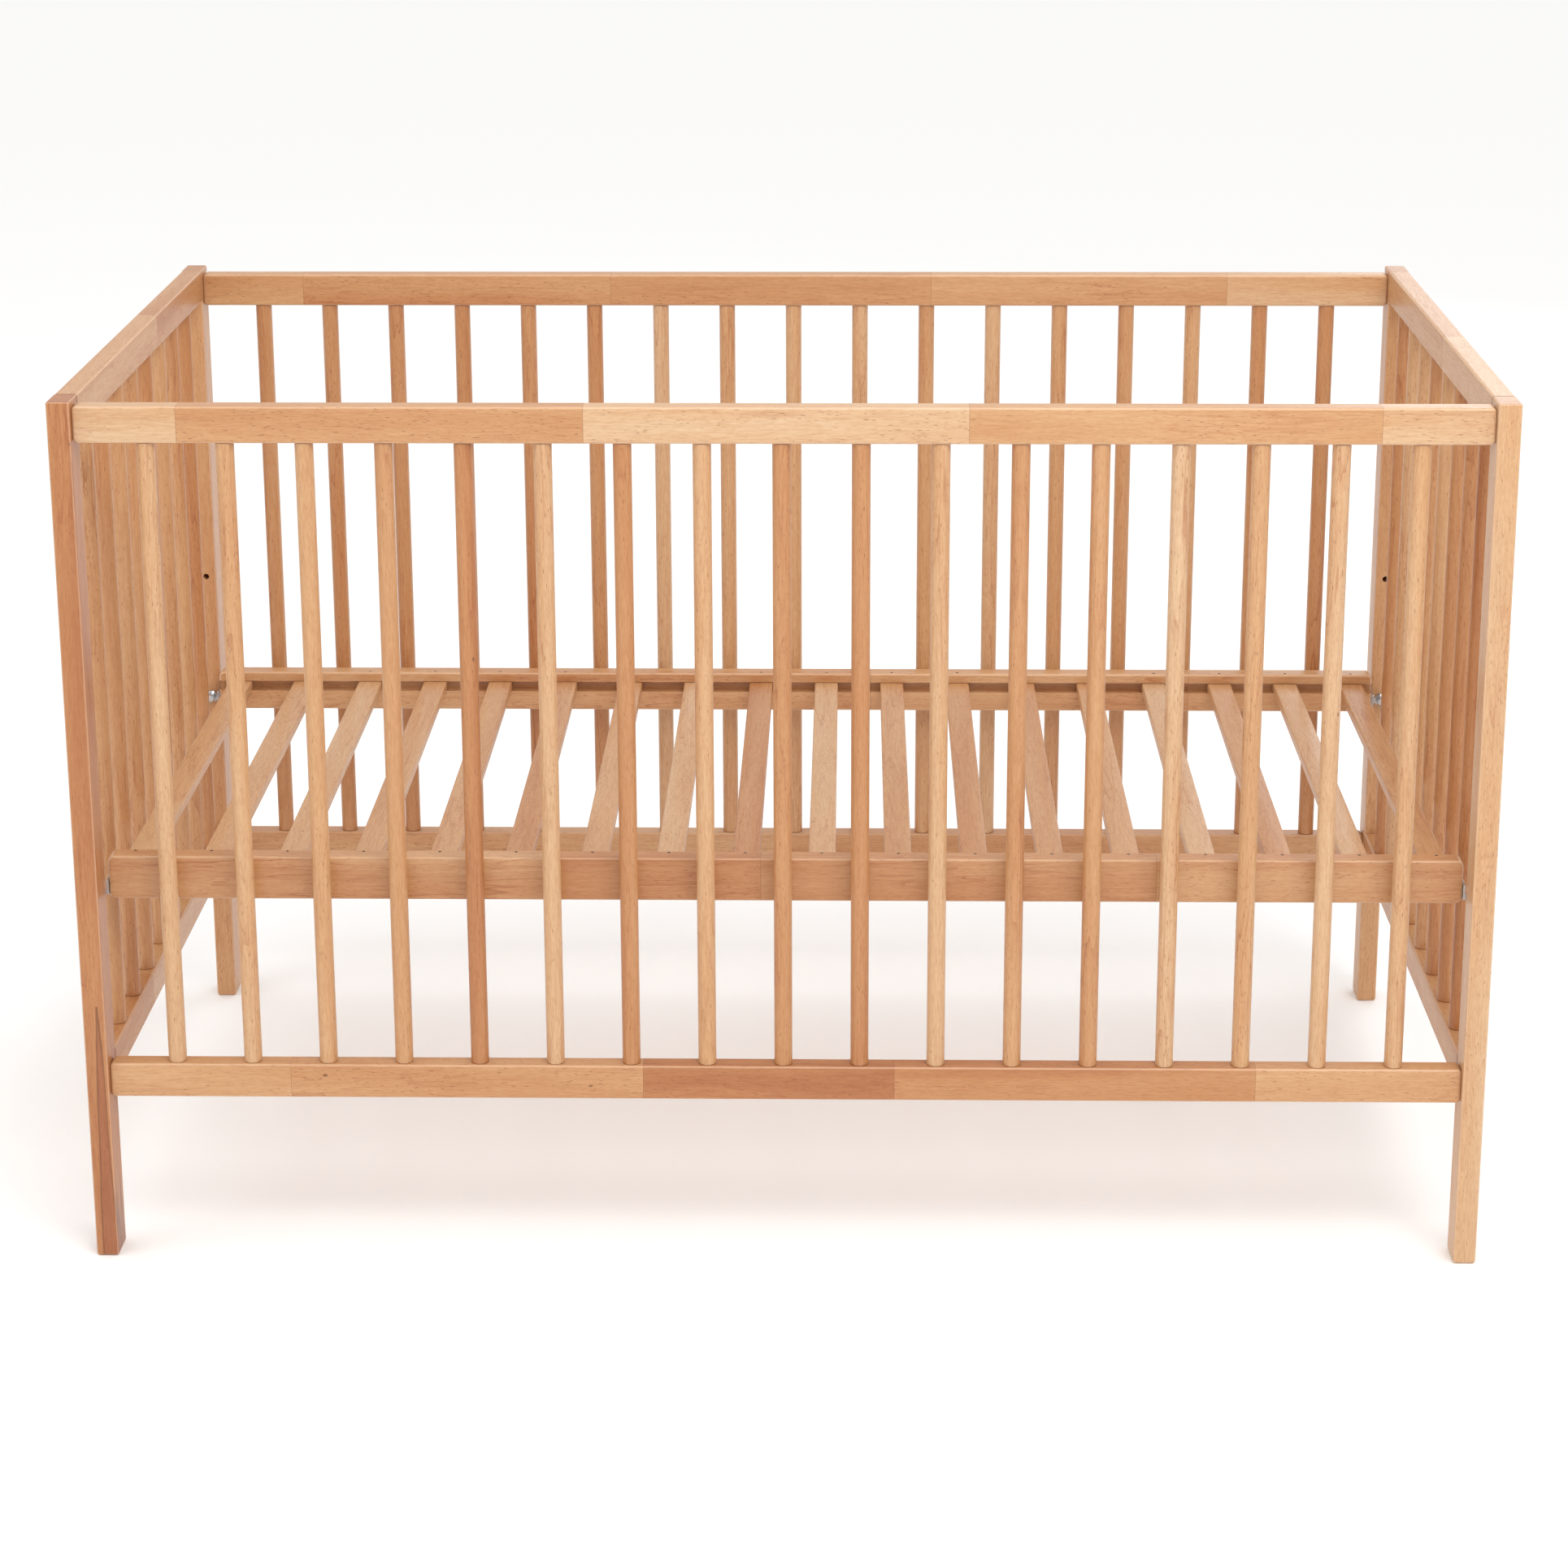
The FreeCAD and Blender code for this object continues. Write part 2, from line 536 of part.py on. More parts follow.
tab_screws = []
for sx in ("-", "+"):
    for sy in ("-", "+"):
        for spot, lift in zip(("low", "high"), TAB_SCREW_LIFTS):
            name = f"tab_screw_{'l' if sx == '-' else 'r'}{'f' if sy == '-' else 'b'}_{spot}"
            shank = rod(f"{name}_shank", "dims.tab_screw_dia",
                        "dims.tab_thick + dims.tab_screw_length - 0.5")
            head = rod(f"{name}_head", "dims.tab_screw_head", "dims.tab_screw_head_tall",
                       "-dims.tab_screw_head_tall")
            made = doc.addObject("Part::Fuse", name)
            made.Base, made.Tool = head, shank
            put(made, f"{sx}(dims.base_length / 2 + dims.tab_thick)",
                f"{sy}({TAB_FACE} - dims.tab_thick - dims.tab_screw_inset)",
                f"dims.screw_low + {lift}", Rotation(ALONG_Y, 90 if sx == "-" else -90))
            tab_screws.append(made)
together("tab_screws", tab_screws)


# ---------------------------------------------------------------- wing screws
# A wing screw runs through the tab's slot into the post. Local +Y points into the post,
# y = 0 is the post face, and the wings were left at a different angle in every corner.
def wing_screw(label, x, y, turn):
    body = new_body(label)
    seat = "(dims.tab_thick + 2 * dims.play)"
    half = sketch_on(body, "half_profile", "XY_Plane")
    shank, hub = "dims.screw_dia / 2", "dims.screw_hub_dia / 2"
    outline(half, [("0", f"-{seat} - dims.screw_hub_tall"), (f"{hub} - 1", f"-{seat} - dims.screw_hub_tall"),
                   (hub, f"-{seat}"), (shank, f"-{seat}"), (shank, "dims.screw_reach - 1"),
                   (f"{shank} - 1", "dims.screw_reach"), ("0", "dims.screw_reach")])
    turned = body.newObject("PartDesign::Revolution", "turned")
    turned.Profile = half
    turned.ReferenceAxis = (half, ["V_Axis"])
    turned.Angle = 360
    wings = sketch_on(body, "wings", "YZ_Plane")
    tip, root = "dims.wing_span / 2", "dims.screw_hub_dia / 2 - 1.5"
    for sign in ("", "-"):
        outline(wings, [(f"-{seat} - 1.5", f"{sign}({root})"), (f"-{seat} - 2.5", f"{sign}({tip} - 2)"),
                        (f"-{seat} - 5", f"{sign}({tip})"), (f"-{seat} - dims.wing_rise + 1.5", f"{sign}({tip})"),
                        (f"-{seat} - dims.wing_rise", f"{sign}({tip} - 2)"),
                        (f"-{seat} - dims.wing_rise + 0.8", f"{sign}({tip} - 4)"),
                        (f"-{seat} - 5.5", f"{sign}({root})")])
    blades = pad_both_ways(body, "blades", wings, "dims.wing_thick")
    doc.recompute()
    body.Tip = blades
    put(body, x, y, "dims.screw_low", turn)
    nodes.append(body)


FACE_Y = f"({END_SPAN} / 2)"
wing_screw("wing_screw_back_left", f"-{POST_X}", FACE_Y, Rotation(ALONG_Y, 24))
wing_screw("wing_screw_back_right", POST_X, FACE_Y, Rotation(ALONG_Y, -6))
wing_screw("wing_screw_front_left", f"-{POST_X}", f"-{FACE_Y}", HALF_Z * Rotation(ALONG_Y, 58))
wing_screw("wing_screw_front_right", POST_X, f"-{FACE_Y}", HALF_Z * Rotation(ALONG_Y, -35))

# ---------------------------------------------------------------- check and write
doc.recompute()
for thing in doc.Objects:
    if "Invalid" in thing.State or "Error" in thing.State:
        raise RuntimeError(f"{thing.Label} did not rebuild: {thing.State}")
for node in nodes:
    if node.Shape.isNull() or not node.Shape.isValid():
        raise RuntimeError(f"{node.Label} is not a sound solid")
for node in nodes:
    node.Shape.exportStep(f"parts/{node.Label}.step")
print(f"{len(nodes)} sub-parts written")
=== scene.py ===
import math

import bmesh
import bpy
from mathutils import Matrix, Vector


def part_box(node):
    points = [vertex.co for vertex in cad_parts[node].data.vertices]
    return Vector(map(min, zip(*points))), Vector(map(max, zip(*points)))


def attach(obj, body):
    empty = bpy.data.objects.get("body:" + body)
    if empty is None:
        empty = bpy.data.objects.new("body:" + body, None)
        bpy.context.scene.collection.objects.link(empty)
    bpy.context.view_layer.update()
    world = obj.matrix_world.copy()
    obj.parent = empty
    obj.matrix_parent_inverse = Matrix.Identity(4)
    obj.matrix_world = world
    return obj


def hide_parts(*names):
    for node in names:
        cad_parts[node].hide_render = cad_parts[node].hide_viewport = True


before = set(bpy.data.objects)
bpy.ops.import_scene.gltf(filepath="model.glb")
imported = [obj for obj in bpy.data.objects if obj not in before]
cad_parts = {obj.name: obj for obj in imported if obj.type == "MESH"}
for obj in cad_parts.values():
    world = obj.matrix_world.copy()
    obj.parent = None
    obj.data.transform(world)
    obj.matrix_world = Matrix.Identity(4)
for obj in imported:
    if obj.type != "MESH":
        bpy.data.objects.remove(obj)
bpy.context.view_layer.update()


# ---------------------------------------------------------------- corner posts
# Four square-edged beech uprights, planed, rounded over by 2 mm and lacquered satin. Each
# has the mortises of its end panel, two bolt holes and two setting holes for the bed base.
def srgb(red, green, blue):
    """A colour as a paint chart gives it, turned into the linear one the shader wants."""
    return tuple((c / 255 / 12.92) if c <= 10 else ((c / 255 + 0.055) / 1.055) ** 2.4
                 for c in (red, green, blue)) + (1.0,)


def place_node(tree, kind, sockets=None, **settings):
    """Adds a node, sets its options, and links or fills the sockets named."""
    made = tree.nodes.new(kind)
    for name, setting in settings.items():
        setattr(made, name, setting)
    for name, value in (sockets or {}).items():
        socket = made.inputs[name]
        if isinstance(value, bpy.types.NodeSocket):
            tree.links.new(value, socket)
        else:
            socket.default_value = value
    return made


def calc(tree, operation, *values, clamp=False):
    """One sum, worked out for every point of the surface."""
    made = place_node(tree, "ShaderNodeMath", dict(enumerate(values)), operation=operation)
    made.use_clamp = clamp
    return made.outputs[0]


def blend_colour(tree, share, first, second, how="MIX"):
    """Lays the second colour over the first, as thickly as the share says."""
    made = tree.nodes.new("ShaderNodeMix")
    made.data_type, made.blend_type = "RGBA", how
    for index, value in ((0, share), (6, first), (7, second)):
        if isinstance(value, bpy.types.NodeSocket):
            tree.links.new(value, made.inputs[index])
        else:
            made.inputs[index].default_value = value
    return made.outputs[2]


def ramp(tree, value, stops):
    """A run of colours that the value picks from."""
    made = place_node(tree, "ShaderNodeValToRGB", {"Fac": value})
    points = made.color_ramp.elements
    while len(points) < len(stops):
        points.new(0.5)
    for point, (at, colour) in zip(points, stops):
        point.position = at
        point.color = colour
    return made.outputs["Color"]


def noise(tree, where, scale, detail, roughness=0.5):
    return place_node(tree, "ShaderNodeTexNoise", {
        "Vector": where, "Scale": scale, "Detail": detail, "Roughness": roughness}).outputs["Fac"]


def stretch(tree, where, scale):
    return place_node(tree, "ShaderNodeMapping", {"Vector": where, "Scale": scale}).outputs[0]


def excess(tree, value, threshold, gain):
    """How far a value stands above a threshold, from 0 to 1."""
    return calc(tree, "MULTIPLY", calc(tree, "SUBTRACT", value, threshold), gain, clamp=True)


# Lacquered beech from the palest sapwood to the reddest heart, and what marks it.
BEECH_SHADES = [(0.0, srgb(212, 181, 146)), (0.35, srgb(202, 158, 114)),
                (0.7, srgb(186, 131, 84)), (1.0, srgb(158, 92, 50))]
ROSY, GROWTH_LINE = srgb(250, 232, 222), srgb(196, 140, 100)
HEART, HEART_RIM = srgb(146, 80, 48), srgb(98, 48, 26)
FIBRE, GRIT = srgb(224, 194, 168), srgb(228, 202, 178)
RAY, PIN_KNOT = srgb(124, 70, 38), srgb(92, 48, 26)
# The seat colour is painted shadow, laid where one piece enters another.
GLUE_LINE, SEAT_PAINTED_SHADOW = srgb(128, 78, 46), srgb(96, 56, 32)
SAWN_END, RUBBED_EDGE = srgb(222, 192, 168), srgb(240, 212, 184)
GLUE_HALF, SEAT_HALF = 0.0003, 0.0007   # half widths of a glue line and of a painted shadow line at a seat
GRAIN_STRETCH = 0.07                    # how far the figure is drawn out along the grain
STREAK_HALF = 0.0078                    # half the width of a heart streak at its foot


def beech(name, grain, tone, figure=0.5, flecks=0.6, staves=None, own_tone=0.0, streak=None,
          seats=()):
    """Lacquered beech. grain is the axis the fibres follow, tone runs from pale 0 to red 1,
    figure is how strong the growth lines are and flecks how many rays show. staves are
    (end, tone) pairs for finger-jointed rails, and own_tone is how far each piece's own tone
    may wander. streak is where a dark heart streak starts, how far it climbs and where its
    middle is. seats are the places along the grain where it enters another piece; each gets
    a fine line of painted shadow."""
    material = bpy.data.materials.new(name)
    material.use_nodes = True
    tree = material.node_tree
    tree.nodes.clear()
    spot = place_node(tree, "ShaderNodeTexCoord").outputs["Object"]
    apart = place_node(tree, "ShaderNodeSeparateXYZ", {0: spot}).outputs
    axis = "XYZ".index(grain)
    along, wide, deep = apart[axis], apart[(axis + 1) % 3], apart[(axis + 2) % 3]

    # Which board this is: its tone, and how far into the log it was sawn.
    board_tone, seams, shift = tone, None, 0.37 + 2.1 * tone
    if staves:
        board_tone, before = staves[0][1], staves[0][1]
        for (end, _), (_, shade) in zip(staves, staves[1:]):
            beyond = calc(tree, "GREATER_THAN", along, end)
            board_tone = calc(tree, "MULTIPLY_ADD", beyond, shade - before, board_tone)
            before = shade
            line = calc(tree, "COMPARE", along, end, GLUE_HALF)
            seams = line if seams is None else calc(tree, "MAXIMUM", seams, line)
        shift = calc(tree, "MULTIPLY", board_tone, 5.3)
    if own_tone:
        own = place_node(tree, "ShaderNodeAttribute", attribute_name="tone").outputs["Fac"]
        board_tone = calc(tree, "MULTIPLY_ADD", calc(tree, "SUBTRACT", own, 0.5), own_tone, tone)
        shift = calc(tree, "MULTIPLY", own, 7.9)
    wood = place_node(tree, "ShaderNodeCombineXYZ", {
        0: calc(tree, "ADD", wide, calc(tree, "MULTIPLY", shift, 0.11)),
        1: calc(tree, "ADD", deep, calc(tree, "MULTIPLY_ADD", shift, 0.17, 0.04)),
        2: calc(tree, "ADD", calc(tree, "MULTIPLY", along, GRAIN_STRETCH), shift)}).outputs[0]
    short = stretch(tree, wood, (1, 1, 2.2))

    # Slow drift of colour, and growth lines that come and go with the way the board was cut.
    drift = noise(tree, wood, 34.0, 2.0)
    cloud = noise(tree, short, 36.0, 3.0)
    bend = noise(tree, wood, 52.0, 2.5)
    rings = calc(tree, "MULTIPLY_ADD", bend, 9.0, calc(tree, "MULTIPLY", wide, 45.0))
    rings = calc(tree, "POWER", calc(tree, "FRACT", rings), 7.0)
    rings = calc(tree, "MULTIPLY", rings, excess(tree, cloud, 0.42, 5.0))
    fibre = noise(tree, wood, 620.0, 4.0, 0.7)
    grit = noise(tree, short, 900.0, 2.0, 0.6)

    # Short dark rays, thicker in some boards, and now and then a pin knot.
    rays = place_node(tree, "ShaderNodeTexVoronoi", {"Vector": short, "Scale": 700.0})
    ray_pick = place_node(tree, "ShaderNodeSeparateColor", {0: rays.outputs["Color"]}).outputs
    crowd = calc(tree, "MULTIPLY_ADD", calc(tree, "SUBTRACT", cloud, 0.5), 3.4, flecks)
    ray_size = calc(tree, "MULTIPLY_ADD", ray_pick[1], 0.17, 0.11)
    ray = excess(tree, ray_size, rays.outputs["Distance"], 12.0)
    ray = calc(tree, "MULTIPLY", ray, calc(tree, "LESS_THAN", ray_pick[0], crowd))
    blunt = stretch(tree, wood, (1, 1, 7.0))
    pins = place_node(tree, "ShaderNodeTexVoronoi", {"Vector": blunt, "Scale": 34.0})
    pin_pick = place_node(tree, "ShaderNodeSeparateColor", {0: pins.outputs["Color"]}).outputs
    pin = excess(tree, 0.05, pins.outputs["Distance"], 40.0)
    pin = calc(tree, "MULTIPLY", pin, calc(tree, "GREATER_THAN", pin_pick[0], 0.8))

    level = calc(tree, "MULTIPLY_ADD", calc(tree, "SUBTRACT", drift, 0.5), 0.7, board_tone,
                 clamp=True)
    colour = ramp(tree, level, BEECH_SHADES)
    colour = blend_colour(tree, excess(tree, cloud, 0.5, 1.2), colour, ROSY, "MULTIPLY")
    ring_share = calc(tree, "MULTIPLY", rings, 0.75 * figure)
    colour = blend_colour(tree, ring_share, colour, GROWTH_LINE, "MULTIPLY")
    if streak:
        # A dark heart streak that narrows as it climbs the post, with a darker rim.
        foot, reach, middle = streak
        climb = calc(tree, "DIVIDE", calc(tree, "SUBTRACT", along, foot), reach, clamp=True)
        sway = calc(tree, "MULTIPLY_ADD", calc(tree, "SUBTRACT", bend, 0.5), 0.011, middle)
        off = calc(tree, "ABSOLUTE", calc(tree, "SUBTRACT", wide, sway))
        half = calc(tree, "MULTIPLY_ADD", climb, -STREAK_HALF, STREAK_HALF)
        to_rim = calc(tree, "ABSOLUTE", calc(tree, "SUBTRACT", half, off))
        rim = calc(tree, "SUBTRACT", 1.0, calc(tree, "MULTIPLY", to_rim, 900.0, clamp=True))
        rim = calc(tree, "MULTIPLY", rim, calc(tree, "LESS_THAN", climb, 0.97))
        inside = calc(tree, "MULTIPLY", excess(tree, half, off, 900.0), 0.62)
        colour = blend_colour(tree, inside, colour, HEART)
        colour = blend_colour(tree, calc(tree, "MULTIPLY", rim, 0.75), colour, HEART_RIM)
    colour = blend_colour(tree, excess(tree, fibre, 0.40, 1.5), colour, FIBRE, "MULTIPLY")
    colour = blend_colour(tree, excess(tree, grit, 0.45, 1.6), colour, GRIT, "MULTIPLY")
    colour = blend_colour(tree, calc(tree, "MULTIPLY", ray, 0.66), colour, RAY)
    colour = blend_colour(tree, calc(tree, "MULTIPLY", pin, 0.8), colour, PIN_KNOT)
    if seams is not None:
        colour = blend_colour(tree, calc(tree, "MULTIPLY", seams, 0.4), colour, GLUE_LINE)
    # Painted shadow: a fine dark line at each seat stands in for the shade where the piece enters
    # another.
    for seat in seats:
        line = calc(tree, "COMPARE", along, seat, SEAT_HALF)
        colour = blend_colour(tree, calc(tree, "MULTIPLY", line, 0.6), colour, SEAT_PAINTED_SHADOW)

    # Sawn ends are a little darker and more open; rubbed edges are a little paler.
    facing = place_node(tree, "ShaderNodeSeparateXYZ", {
        0: place_node(tree, "ShaderNodeNewGeometry").outputs["Normal"]}).outputs
    turned = [calc(tree, "ABSOLUTE", side) for side in facing]
    sawn = calc(tree, "MULTIPLY", excess(tree, turned[axis], 0.8, 8.0), 0.45)
    colour = blend_colour(tree, sawn, colour, SAWN_END, "MULTIPLY")
    if not own_tone:
        flat = calc(tree, "MAXIMUM", calc(tree, "MAXIMUM", turned[0], turned[1]), turned[2])
        worn = calc(tree, "MULTIPLY", excess(tree, 0.985, flat, 6.0), 0.25)
        colour = blend_colour(tree, worn, colour, RUBBED_EDGE)

    # Satin lacquer that sinks a little into the rays, the fibres and the growth lines.
    rough = calc(tree, "MULTIPLY_ADD", fibre, 0.22, 0.30)
    rough = calc(tree, "MULTIPLY_ADD", ray, 0.15, rough)
    relief = calc(tree, "MULTIPLY", fibre, 0.5)
    for mark, sink in ((ray, 0.6), (rings, 0.25)):
        relief = calc(tree, "SUBTRACT", relief, calc(tree, "MULTIPLY", mark, sink))
    bump = place_node(tree, "ShaderNodeBump", {
        "Height": relief, "Strength": 0.3, "Distance": 0.0002})
    shader = place_node(tree, "ShaderNodeBsdfPrincipled", {
        "Base Color": colour, "Roughness": rough, "Normal": bump.outputs[0],
        "Coat Weight": 0.18, "Coat Roughness": 0.25, "Specular IOR Level": 0.45})
    out = place_node(tree, "ShaderNodeOutputMaterial")
    tree.links.new(shader.outputs[0], out.inputs[0])
    return material


def dress(node, material):
    """Gives a CAD piece whose shape is already right its real finish."""
    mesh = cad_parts[node].data
    mesh.materials.clear()
    mesh.materials.append(material)
    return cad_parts[node]


post_low, post_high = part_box("post_front_left")
streak_foot, streak_climb = -0.01, 0.26
streak_middle = (post_low.x + post_high.x) / 2 + 0.0025
dress("post_front_left", beech("beech post reddish", "Z", tone=0.78, figure=0.75, flecks=0.35,
                               streak=(streak_foot, streak_climb, streak_middle)))
dress("post_front_right", beech("beech post pale", "Z", tone=0.24, figure=0.45, flecks=0.5))
dress("post_back_left", beech("beech post brown", "Z", tone=0.52, figure=0.6, flecks=0.5))
dress("post_back_right", beech("beech post tan", "Z", tone=0.44, figure=0.55, flecks=0.5))


# ---------------------------------------------------------------- end panel rails
# Top and bottom rail of each end panel, glued between the posts on stub tenons, the upper
# one flush with the post tops. Each is finger-jointed from two or three beech staves.
end_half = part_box("end_rail_left_top")[1].y
shoulders = (post_high.y, -post_high.y)
# Both ends of each rail get a fine line of painted shadow where they meet the posts.
dress("end_rail_left_top", beech(
    "beech end rail left top", "Y", tone=0.4, figure=0.5, flecks=0.5,
    staves=[(0.06, 0.46), (end_half, 0.58)], seats=shoulders))
dress("end_rail_left_bottom", beech(
    "beech end rail left bottom", "Y", tone=0.4, figure=0.5, flecks=0.5,
    staves=[(-0.12, 0.55), (0.19, 0.42), (end_half, 0.5)], seats=shoulders))
dress("end_rail_right_top", beech(
    "beech end rail right top", "Y", tone=0.4, figure=0.4, flecks=0.5,
    staves=[(-0.04, 0.28), (end_half, 0.38)], seats=shoulders))
dress("end_rail_right_bottom", beech(
    "beech end rail right bottom", "Y", tone=0.4, figure=0.5, flecks=0.5,
    staves=[(0.11, 0.38), (end_half, 0.56)], seats=shoulders))


# ---------------------------------------------------------------- upright bars
# Plain 16 mm bars, turned from short beech offcuts that were never sorted for colour, so
# neighbours differ. They are glued into blind holes in the rails, all round the cot.
def geometry_tree(name, inputs):
    """An empty geometry tree with the inputs named, and its two ends."""
    tree = bpy.data.node_groups.new(name, "GeometryNodeTree")
    tree.interface.new_socket("Geometry", in_out="INPUT", socket_type="NodeSocketGeometry")
    tree.interface.new_socket("Geometry", in_out="OUTPUT", socket_type="NodeSocketGeometry")
    for label, kind in inputs:
        tree.interface.new_socket(label, in_out="INPUT", socket_type=f"NodeSocket{kind}")
    start = tree.nodes.new("NodeGroupInput").outputs
    finish = tree.nodes.new("NodeGroupOutput").inputs
    return tree, start, finish


def spread_by_tone(tree, points, piece, seed):
    """One piece on every point, each with a tone of its own for its colour and its grain."""
    placed = place_node(tree, "GeometryNodeInstanceOnPoints", {
        "Points": points, "Instance": piece})
    chance = place_node(tree, "FunctionNodeRandomValue", data_type="FLOAT")
    tree.links.new(seed, chance.inputs["Seed"])
    kept = place_node(tree, "GeometryNodeStoreNamedAttribute", {
        "Geometry": placed.outputs[0], "Name": "tone"}, data_type="FLOAT", domain="INSTANCE")
    value = next(socket for socket in kept.inputs if socket.name == "Value" and socket.enabled)
    tree.links.new(chance.outputs[1], value)
    return kept.outputs[0]


def close_tree(tree, geometry, material, finish):
    """Makes the copies real, smooth-shaded and of one material, and ends the tree."""
    real = place_node(tree, "GeometryNodeRealizeInstances", {0: geometry}).outputs[0]
    real = place_node(tree, "GeometryNodeSetShadeSmooth", {0: real}).outputs[0]
    done = place_node(tree, "GeometryNodeSetMaterial", {"Geometry": real, "Material": material})
    tree.links.new(done.outputs[0], finish[0])


def make_with(tree, name, settings, profile=None):
    """Runs a tree once and keeps what it makes as a plain mesh."""
    maker = bpy.data.objects.new(name + "_maker", profile or bpy.data.meshes.new(name + "_start"))
    bpy.context.scene.collection.objects.link(maker)
    modifier = maker.modifiers.new("made", "NODES")
    modifier.node_group = tree
    for socket in tree.interface.items_tree:
        if socket.in_out == "INPUT" and socket.name in settings:
            modifier[socket.identifier] = settings[socket.name]
    bpy.context.view_layer.update()
    made = maker.evaluated_get(bpy.context.evaluated_depsgraph_get())
    mesh = bpy.data.meshes.new_from_object(made)
    mesh.name = name
    maker.modifiers.remove(modifier)
    bpy.data.objects.remove(maker)
    piece = bpy.data.objects.new(name, mesh)
    bpy.context.scene.collection.objects.link(piece)
    return piece


bar_tree, bar_in, bar_out = geometry_tree("upright bars", [
    ("Count", "Int"), ("First", "Vector"), ("Step", "Vector"), ("Rows", "Int"),
    ("Row Step", "Vector"), ("Length", "Float"), ("Radius", "Float"), ("Seed", "Int"),
    ("Wood", "Material")])
row = place_node(bar_tree, "GeometryNodeMeshLine", {
    "Count": bar_in["Count"], "Start Location": bar_in["First"],
    "Offset": bar_in["Step"]}, mode="OFFSET")
rows = place_node(bar_tree, "GeometryNodeDuplicateElements", {
    "Geometry": row.outputs[0], "Amount": bar_in["Rows"]}, domain="POINT")
row_offset = place_node(bar_tree, "ShaderNodeVectorMath", {0: bar_in["Row Step"]},
                        operation="SCALE")
bar_tree.links.new(rows.outputs["Duplicate Index"], row_offset.inputs["Scale"])
stood = place_node(bar_tree, "GeometryNodeSetPosition", {
    "Geometry": rows.outputs["Geometry"], "Offset": row_offset.outputs[0]}).outputs[0]
bar_end = place_node(bar_tree, "ShaderNodeCombineXYZ", {2: bar_in["Length"]}).outputs[0]
bar_line = place_node(bar_tree, "GeometryNodeCurvePrimitiveLine", {"End": bar_end}).outputs[0]
bar_rings, bar_sides = 12, 32
bar_line = place_node(bar_tree, "GeometryNodeResampleCurve", {
    "Curve": bar_line, "Count": bar_rings}).outputs[0]
bar_round = place_node(bar_tree, "GeometryNodeCurvePrimitiveCircle", {
    "Resolution": bar_sides, "Radius": bar_in["Radius"]}).outputs[0]
bar_body = place_node(bar_tree, "GeometryNodeCurveToMesh", {
    "Curve": bar_line, "Profile Curve": bar_round, "Fill Caps": True}).outputs[0]
bars = spread_by_tone(bar_tree, stood, bar_body, bar_in["Seed"])
close_tree(bar_tree, bars, bar_in["Wood"], bar_out)

# Each bar gets a fine line of painted shadow where it enters the bottom rail and the top rail.
side_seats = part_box("side_rail_front_bottom")[1].z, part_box("side_rail_front_top")[0].z
bar_wood = beech("beech side bar", "Z", tone=0.46, figure=0.75, flecks=0.5,
                 own_tone=0.62, seats=side_seats)
end_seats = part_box("end_rail_left_bottom")[1].z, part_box("end_rail_left_top")[0].z
end_bar_wood = beech("beech end bar", "Z", tone=0.5, figure=0.75, flecks=0.5,
                     own_tone=0.62, seats=end_seats)
first_low, first_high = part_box("front_bar_01")
second_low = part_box("front_bar_02")[0]
bar_radius = (first_high.x - first_low.x) / 2
bar_foot = (first_low + first_high) / 2
bar_foot.z = first_low.z
front_seed, back_seed, end_seed = 1212, 4043, 5
side_bar_names = [f"front_bar_{i:02d}" for i in range(1, 18)]
side_bar = {"Count": len(side_bar_names), "Step": (second_low.x - first_low.x, 0, 0), "Rows": 1,
            "Length": first_high.z - first_low.z, "Radius": bar_radius, "Wood": bar_wood}
front_bars = make_with(bar_tree, "front_panel_bars", {
    **side_bar, "First": bar_foot, "Seed": front_seed})
back_bars = make_with(bar_tree, "back_panel_bars", {
    **side_bar, "First": (bar_foot.x, -bar_foot.y, bar_foot.z), "Seed": back_seed})
end_low, end_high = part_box("end_bars")
end_count = 8
end_pitch = (end_high.y - end_low.y - 2 * bar_radius) / (end_count - 1)
end_bars = make_with(bar_tree, "end_panel_bars", {
    **side_bar, "Count": end_count, "Step": (0, end_pitch, 0), "Rows": 2,
    "Row Step": (end_high.x - end_low.x - 2 * bar_radius, 0, 0), "Seed": end_seed,
    "First": (end_low.x + bar_radius, end_low.y + bar_radius, end_low.z),
    "Length": end_high.z - end_low.z, "Wood": end_bar_wood})
for piece, stood_for in ((front_bars, side_bar_names), (back_bars, ["back_bars"]),
                         (end_bars, ["end_bars"])):
    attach(piece, "frame")
    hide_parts(*stood_for)


# ---------------------------------------------------------------- side panel rails
# Top and bottom rail of the two long sides, between the posts, with rounded end corners.
# Each is finger-jointed from beech staves 90 to 350 mm long, so its colour changes along it.
rail_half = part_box("side_rail_front_top")[1].x
dress("side_rail_front_top", beech(
    "beech rail front top", "X", tone=0.3, figure=0.4, flecks=0.62,
    staves=[(-0.514, 0.16), (-0.168, 0.45), (0.159, 0.13), (0.507, 0.42), (rail_half, 0.2)]))
dress("side_rail_front_bottom", beech(
    "beech rail front bottom", "X", tone=0.4, figure=0.4, flecks=0.62,
    staves=[(-0.44, 0.42), (-0.125, 0.5), (0.099, 0.82), (0.42, 0.66), (rail_half, 0.48)]))
dress("side_rail_back_top", beech(
    "beech rail back top", "X", tone=0.45, figure=0.5, flecks=0.55,
    staves=[(-0.5, 0.5), (-0.186, 0.58), (0.14, 0.52), (0.44, 0.4), (rail_half, 0.27)]))
dress("side_rail_back_bottom", beech(
    "beech rail back bottom", "X", tone=0.45, figure=0.5, flecks=0.55,
    staves=[(-0.36, 0.48), (-0.02, 0.36), (0.31, 0.55), (rail_half, 0.42)]))


